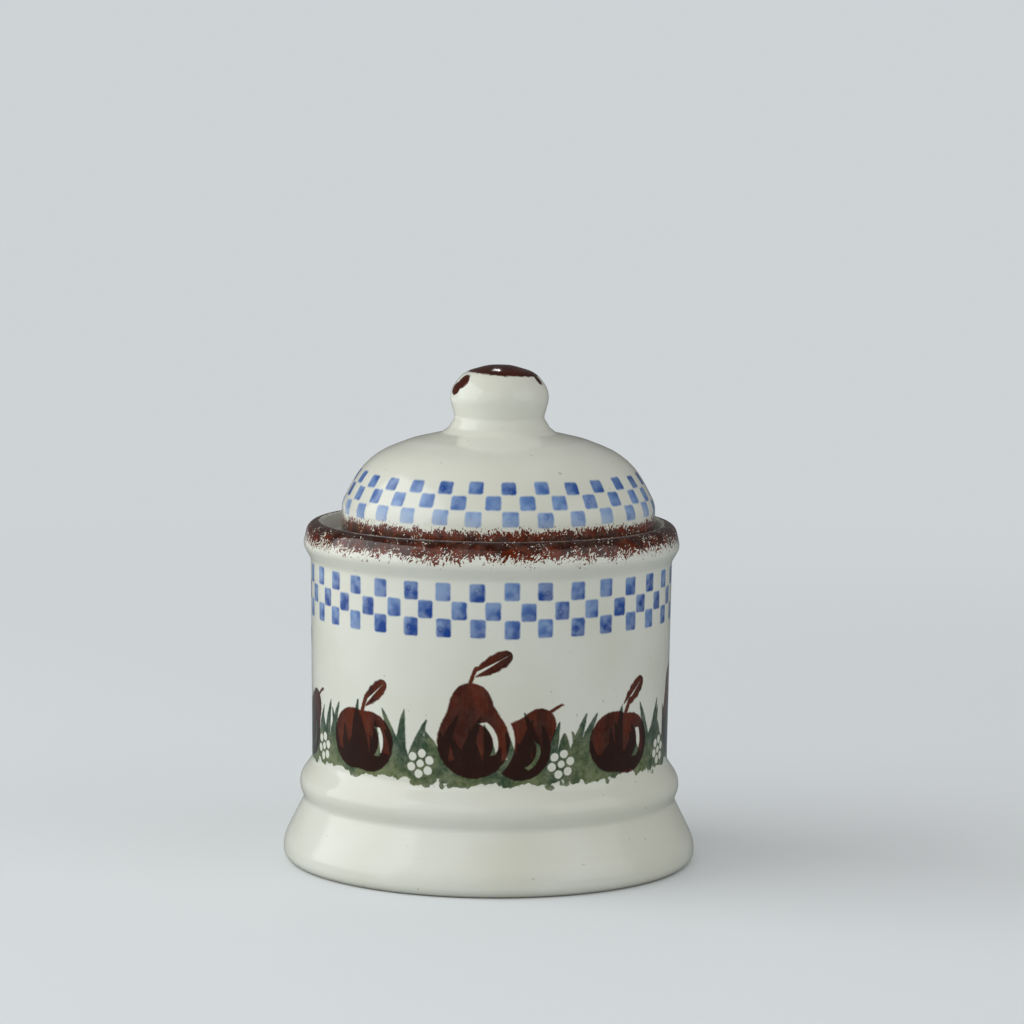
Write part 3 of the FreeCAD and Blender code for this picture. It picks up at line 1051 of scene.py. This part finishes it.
# %% [markdown]
# ## Putting the pot together
# The pot's section now goes on the lathe with its glaze. Its bake map gives the outside more room than the
# inside, because the outside carries all the printing.

# %% Pot on the lathe
POT_COLUMNS = 256
POT_WOBBLE = 0.0001
INSIDE_AFTER_CREST = 8
INSIDE_SHARE = 0.45

steps = norm(np.diff(pot_section, axis=0), axis=1)
inside_starts = int(np.argmax(pot_section[:, 1])) + INSIDE_AFTER_CREST
steps[inside_starts:] *= INSIDE_SHARE
shares = np.concatenate([[0], np.cumsum(steps)]) / steps.sum()
pot = turn_on_lathe("pot_ware", pot_section, shares, POT_COLUMNS, POT_WOBBLE, 2.0, pot_glaze)
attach(pot, "root")
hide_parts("pot")

# %% [markdown]
# The lid is nearly a lathe shape too, but a notch for a spoon is cut through its skirt at the back. A
# Boolean would leave slivers beside the cut, and the glaze would show them. Instead every column of the
# lid's grid ends on the edge of the skirt, and where the notch is, that edge climbs over an arch. The
# columns fan in to meet it, so the grid stays clean and the edge can be rounded as a potter sponges it.

# %% The lid's two sections
LID_WALL = 4
DOME_TOP_IN = 21.35
SECTION_STEP_IN = 1.6
outer_corners = [
    (0, LID_H, 0),
    (2.8, LID_H, 9),
    (8.8, LID_H - 1.75, 6.6),
    (12.4, LID_H - 6.6, 5.7),
    (10.75, 28.9, 1.4),
    (11.75, 27.3, 1.0),
    (12.2, 26.5, 1.0),
    (13.9, 25.2, 2.2),
    (21.3, 23.5, 14),
    (32.1, 19.3, 18),
    (LID_R - 0.15, 8.4, 4),
    (LID_R, 0, 0),
]
inner_corners = [
    (LID_R - LID_WALL, 0, 0),
    (LID_R - 4.15, 7.4, 4),
    (LID_R - 8.7, 16.5, 14),
    (13.9, DOME_TOP_IN, 14),
    (0, DOME_TOP_IN, 0),
]
lid_outer = rounded(outer_corners, step=SECTION_STEP)
lid_inner = rounded(inner_corners, step=SECTION_STEP_IN)
SKIRT_TOP, SKIRT_TOP_IN = 15.6, 14.2


def outer_radius(z):
    return np.interp(z, lid_outer[::-1, 1], lid_outer[::-1, 0])


def inner_radius(z):
    return np.interp(z, lid_inner[:, 1], lid_inner[:, 0])


print("lid sections:", len(lid_outer), "and", len(lid_inner), "points")

# %% The edge of the skirt, over the notch and round
NOTCH_TURN = math.radians(130.5)
NOTCH_HALF, NOTCH_SPRING, NOTCH_CORNER = 7.0, 4.0, 1.6
FAN = math.radians(20)
# On each side of the notch the fan has steps over the arch, down its side, round its corner, and away.
ARCH_ENDS, SIDE_ENDS, CORNER_ENDS, FAN_STEPS = 10, 12, 16, 20
ROUND_STEPS = 160


def skirt_edge(step, inset):
    """Sideways place and height of the edge at a fan step, moved `inset` into the clay."""
    sign, step = math.copysign(1, step), abs(step)
    if step <= ARCH_ENDS:
        angle = math.pi / 2 * (1 - step / ARCH_ENDS)
        reach = NOTCH_HALF + inset
        return sign * reach * math.cos(angle), NOTCH_SPRING + reach * math.sin(angle)
    if step <= SIDE_ENDS:
        down = (step - ARCH_ENDS) / (SIDE_ENDS - ARCH_ENDS)
        return sign * (NOTCH_HALF + inset), NOTCH_SPRING + (NOTCH_CORNER - NOTCH_SPRING) * down
    centre = NOTCH_HALF + NOTCH_CORNER
    if step <= CORNER_ENDS:
        angle = math.pi * (1 + (step - SIDE_ENDS) / (CORNER_ENDS - SIDE_ENDS) / 2)
        reach = NOTCH_CORNER - inset
        return sign * (centre + reach * math.cos(angle)), NOTCH_CORNER + reach * math.sin(angle)
    away = (step - CORNER_ENDS) / (FAN_STEPS - CORNER_ENDS)
    return sign * (centre + (LID_R * math.sin(FAN) - centre) * away), inset


columns = [("fan", step) for step in range(-FAN_STEPS, FAN_STEPS + 1)]
columns += [("plain", step) for step in range(1, ROUND_STEPS)]


def column_turn(kind, step):
    """The angle of a column on the dome, measured from the notch."""
    if kind == "fan":
        return FAN * step / FAN_STEPS
    return FAN + (math.tau - 2 * FAN) * step / ROUND_STEPS


def edge_at(kind, step, inset):
    """The edge's sideways place and height. Away from the notch it is flat."""
    return skirt_edge(step, inset) if kind == "fan" else (0, inset)


def point_at(kind, step, inset, depth, turn):
    """A point at the skirt's edge: `inset` in from it and `depth` below the outer face."""
    sideways, z = edge_at(kind, step, inset)
    radius = outer_radius(z) - depth
    if kind == "fan":
        loose = min(1, max(0, (abs(step) - LOOSE_STARTS) / (FAN_STEPS - LOOSE_STARTS)))
        turn = (1 - loose) * math.asin(sideways / radius) + loose * math.asin(sideways / LID_R)
    return turn, z, radius


print("columns on the lid:", len(columns))

# %% One column of the lid
LOOSE_STARTS = 15
DOWN_STEPS, BEND_STEPS, UNDER_STEPS, UP_STEPS = 12, 5, 4, 10
DOWN_EASE, UP_EASE = 1.5, 1.4
NOTCH_ROUND, SKIRT_ROUND, SKIRT_ROUND_IN = 0.6, 1.5, 0.75


def bend(step, size):
    """How far in and how deep a rounding of `size` has come at one of its steps."""
    angle = math.pi / 2 * step / BEND_STEPS
    return size * (1 - math.sin(angle)), size * (1 - math.cos(angle))


def lid_column(kind, step):
    """(angle, height, radius) down the outside of one column, round its edge and up the inside."""
    turn = column_turn(kind, step)
    plain = min(1, max(0, (abs(step) - SIDE_ENDS) / (CORNER_ENDS - SIDE_ENDS))) if kind == "fan" else 1
    round_out = NOTCH_ROUND + (SKIRT_ROUND - NOTCH_ROUND) * plain
    round_in = NOTCH_ROUND + (SKIRT_ROUND_IN - NOTCH_ROUND) * plain
    line = [(turn, z, r) for r, z in lid_outer[1:] if z > SKIRT_TOP]

    def add_point(inset, depth):
        line.append(point_at(kind, step, inset, depth, turn))

    foot = point_at(kind, step, round_out, 0, turn)
    for i in range(DOWN_STEPS + 1):
        t = 1 - (1 - i / DOWN_STEPS) ** DOWN_EASE
        z = SKIRT_TOP + (foot[1] - SKIRT_TOP) * t
        line.append((turn + (foot[0] - turn) * t, z, outer_radius(z)))
    for i in range(1, BEND_STEPS + 1):
        add_point(*bend(i, round_out))
    _, z = edge_at(kind, step, 0)
    under = outer_radius(z) - inner_radius(z) - round_out - round_in
    for i in range(1, UNDER_STEPS):
        add_point(0, round_out + under * i / UNDER_STEPS)
    for i in range(BEND_STEPS, -1, -1):
        inset, depth = bend(i, round_in)
        _, z = edge_at(kind, step, inset)
        add_point(inset, outer_radius(z) - inner_radius(z) - depth)
    foot = line[-1]
    for i in range(1, UP_STEPS + 1):
        t = (i / UP_STEPS) ** UP_EASE
        z = foot[1] + (SKIRT_TOP_IN - foot[1]) * t
        line.append((foot[0] + (turn - foot[0]) * t, z, inner_radius(z)))
    line += [(turn, z, r) for r, z in lid_inner[:-1] if z > SKIRT_TOP_IN + 0.3]
    return line


lid_grid = np.array([lid_column(kind, step) for kind, step in columns])
print("lid grid:", lid_grid.shape)

# %% The lid's mesh
CHART_TOP, CHART_RUN = 0.04, 0.92
DOME_STARTS, DOME_SHARE = 20, 0.7


def lid_mesh(grid):
    """Joins the columns into one closed skin with a top and an inside middle, and gives it its bake map."""
    count, rows, _ = grid.shape
    spots = []
    for line in grid:
        for turn, z, radius in line:
            angle = NOTCH_TURN + turn
            spots.append((LID_SHIFT + radius * math.cos(angle), radius * math.sin(angle), SEAT_Z + z))
    top, middle = len(spots), len(spots) + 1
    spots += [(LID_SHIFT, 0, SEAT_Z + LID_H), (LID_SHIFT, 0, SEAT_Z + lid_inner[-1, 1])]
    plain = grid[-1]
    steps = norm(np.diff(plain[:, 1:], axis=0), axis=1)
    steps[plain[1:, 1] > DOME_STARTS] *= DOME_SHARE
    along = CHART_TOP + CHART_RUN * np.concatenate([[0], np.cumsum(steps)]) / steps.sum()
    turns = [(column_turn(*column) + FAN) / math.tau for column in columns] + [1.0]
    faces, flat = [], []
    for k in range(count):
        here, there = k * rows, (k + 1) % count * rows
        left, right = turns[k], turns[k + 1]
        faces.append((top, here, there))
        flat += [((left + right) / 2, 0), (left, along[0]), (right, along[0])]
        for j in range(rows - 1):
            faces.append((here + j, here + j + 1, there + j + 1, there + j))
            flat += [(left, along[j]), (left, along[j + 1]), (right, along[j + 1]), (right, along[j])]
        faces.append((here + rows - 1, middle, there + rows - 1))
        flat += [(left, along[-1]), ((left + right) / 2, 1), (right, along[-1])]
    mesh = bpy.data.meshes.new("lid_ware")
    mesh.from_pydata([[c * MM for c in spot] for spot in spots], [], faces)
    chart = mesh.uv_layers.new(name="OFBake")
    chart.data.foreach_set("uv", np.array(flat, dtype=np.float32).ravel())
    mesh.shade_smooth()
    mesh.materials.append(lid_glaze)
    face_outwards(mesh)
    return mesh


lid_skin = lid_mesh(lid_grid)
print("lid mesh:", len(lid_skin.vertices), "vertices,", len(lid_skin.polygons), "faces")

# %% The lid in the scene
lid = place_object("lid_ware", lid_skin)
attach(lid, "root")
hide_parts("lid")
print("lid_ware spans", tuple(round(length / MM, 1) for length in lid.dimensions), "mm")
